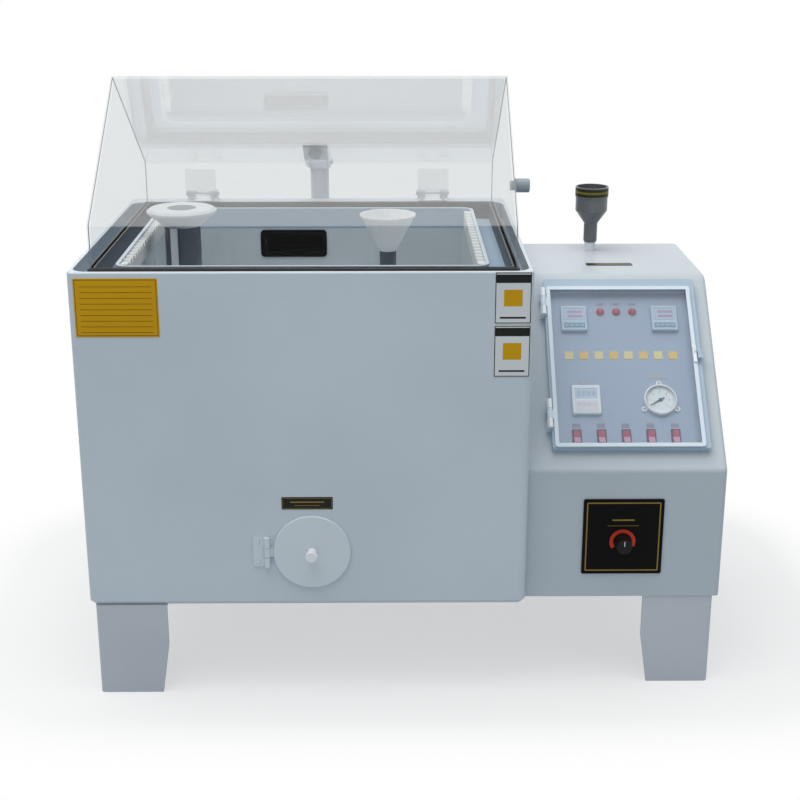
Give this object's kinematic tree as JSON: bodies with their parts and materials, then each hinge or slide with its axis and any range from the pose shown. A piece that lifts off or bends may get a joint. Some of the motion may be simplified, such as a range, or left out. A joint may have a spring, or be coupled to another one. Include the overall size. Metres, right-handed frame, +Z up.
{
  "type": "environmental test chamber",
  "caption": "Salt-spray test chamber: tank with a clear gable lid on a rear lift, spray tower and collecting funnel, and a control cabinet with a sloped panel behind a clear door.",
  "frame": {"origin": "under the middle of the whole object, at the level its feet stand on", "axes": "+Z up, -Y towards the person who faces the control panel, +X from the tank to the cabinet"},
  "size_m": [1.091, 0.7786, 1.0313],
  "materials": {
    "housing": "satin",
    "chamber_plastic": "satin",
    "rail_plastic": "matte",
    "foam": "matte",
    "steel": "brushed",
    "tower_plastic": "satin",
    "white_plastic": "satin",
    "clear_acrylic": "clear",
    "door_plastic": "gloss",
    "seal_rubber": "satin",
    "grey_plastic": "satin",
    "bright_metal": "polished",
    "panel_paint": "satin",
    "red_plastic": "gloss",
    "black_plastic": "gloss",
    "gauge_glass": "clear",
    "funnel_plastic": "satin",
    "brass": "satin"
  },
  "bodies": {
    "base": {"tank_shell": "housing", "cabinet_shell": "housing", "panel_frame": "housing", "feet": "housing", "lift_clamp": "housing", "cabinet_back": "housing", "tank_liner": "chamber_plastic", "false_floor": "chamber_plastic", "vent_duct": "chamber_plastic", "drain_pipe": "chamber_plastic", "feed_pipes": "chamber_plastic", "tower_foot": "chamber_plastic", "notched_rails": "rail_plastic", "insulation": "foam", "heater": "steel", "lid_hinge_brackets": "steel", "lift_barrel": "steel", "air_saturator": "steel", "tower_tube": "tower_plastic", "collector_stem": "tower_plastic", "spray_nozzle": "white_plastic", "cover_hinge": "white_plastic", "fill_fitting": "white_plastic", "controllers": "white_plastic", "timer": "white_plastic", "gauge_dial": "white_plastic", "brine_tank": "white_plastic", "regulator_body": "grey_plastic", "door_hinges": "bright_metal", "gauge_case": "bright_metal", "control_panel": "panel_paint", "lamps": "red_plastic", "rocker_frames": "black_plastic", "regulator_plate": "black_plastic", "rear_fittings": "black_plastic", "gauge_lens": "gauge_glass", "air_valves": "brass"},
    "lid": {"lid_shell": "clear_acrylic", "lid_seal": "seal_rubber", "lid_hinge_leaves": "steel", "lid_arm": "steel", "lid_fixing": "grey_plastic"},
    "plug": {"lid_plug": "grey_plastic"},
    "lift": {"lift_rod": "steel", "lift_sleeve": "grey_plastic"},
    "door": {"panel_door": "door_plastic", "door_window": "clear_acrylic"},
    "latch": {"door_latch": "bright_metal"},
    "cover": {"front_cover": "white_plastic"},
    "knob": {"cover_knob": "white_plastic"},
    "needle": {"gauge_needle": "black_plastic"},
    "regulator": {"regulator_knob": "black_plastic"},
    "funnel": {"fill_funnel": "funnel_plastic"},
    "collector": {"collector_funnel": "white_plastic"},
    "cap": {"tower_cap": "white_plastic"},
    "rocker_1": {"rocker_1": "red_plastic"},
    "rocker_2": {"rocker_2": "red_plastic"},
    "rocker_3": {"rocker_3": "red_plastic"},
    "rocker_4": {"rocker_4": "red_plastic"},
    "rocker_5": {"rocker_5": "red_plastic"}
  },
  "joints": [
    {"name": "lid_hinge", "type": "hinge", "parent": "base", "child": "lid", "pos_m": [-0.1705, 0.273, 0.769], "axis": [-1, 0, 0], "range_deg": [0, 60]},
    {"name": "lift_slide", "type": "slide", "parent": "base", "child": "lift", "axis": [0, 0, 1], "range_m": [-0.1005, 0]},
    {"name": "plug_pull", "type": "slide", "parent": "lid", "child": "plug", "axis": [1, 0, 0], "range_m": [0, 0.02]},
    {"name": "door_hinge", "type": "hinge", "parent": "base", "child": "door", "pos_m": [0.246, -0.19191, 0.56697], "axis": [0, -0.7071, -0.7071], "range_deg": [0, 95]},
    {"name": "latch_turn", "type": "hinge", "parent": "door", "child": "latch", "pos_m": [0.506, -0.19156, 0.56661], "axis": [0, -0.7071, 0.7071], "range_deg": [0, 90]},
    {"name": "cover_hinge", "type": "hinge", "parent": "base", "child": "cover", "pos_m": [-0.2368, -0.3673, 0.269], "axis": [0, 0, -1], "range_deg": [0, 110]},
    {"name": "cover_knob_turn", "type": "hinge", "parent": "cover", "child": "knob", "pos_m": [-0.1608, -0.362, 0.269], "axis": [0, -1, 0], "range_deg": [-90, 90]},
    {"name": "needle_turn", "type": "hinge", "parent": "base", "child": "needle", "pos_m": [0.441, -0.24, 0.49725], "axis": [0, 0.7071, -0.7071], "range_deg": [0, 270], "stiffness_Nm_per_rad": 0.0001},
    {"name": "regulator_turn", "type": "hinge", "parent": "base", "child": "regulator", "pos_m": [0.3715, -0.331, 0.272], "axis": [0, 1, 0], "range_deg": [-135, 135]},
    {"name": "funnel_lift", "type": "slide", "parent": "base", "child": "funnel", "axis": [0, 0, 1], "range_m": [0, 0.04]},
    {"name": "collector_lift", "type": "slide", "parent": "base", "child": "collector", "axis": [0, 0, 1], "range_m": [0, 0.06]},
    {"name": "cap_lift", "type": "slide", "parent": "base", "child": "cap", "axis": [0, 0, 1], "range_m": [0, 0.05]},
    {"name": "rocker_1_press", "type": "hinge", "parent": "base", "child": "rocker_1", "pos_m": [0.2925, -0.28801, 0.44527], "axis": [1, 0, 0], "range_deg": [0, 16]},
    {"name": "rocker_2_press", "type": "hinge", "parent": "base", "child": "rocker_2", "pos_m": [0.335, -0.28801, 0.44527], "axis": [1, 0, 0], "range_deg": [0, 16]},
    {"name": "rocker_3_press", "type": "hinge", "parent": "base", "child": "rocker_3", "pos_m": [0.3775, -0.28801, 0.44527], "axis": [1, 0, 0], "range_deg": [0, 16]},
    {"name": "rocker_4_press", "type": "hinge", "parent": "base", "child": "rocker_4", "pos_m": [0.42, -0.28801, 0.44527], "axis": [1, 0, 0], "range_deg": [0, 16]},
    {"name": "rocker_5_press", "type": "hinge", "parent": "base", "child": "rocker_5", "pos_m": [0.4625, -0.28801, 0.44527], "axis": [1, 0, 0], "range_deg": [0, 16]}
  ],
  "couplings": [
    {"joint": "lift_slide", "follows": "lid_hinge", "m_per_rad": -0.095493}
  ]
}
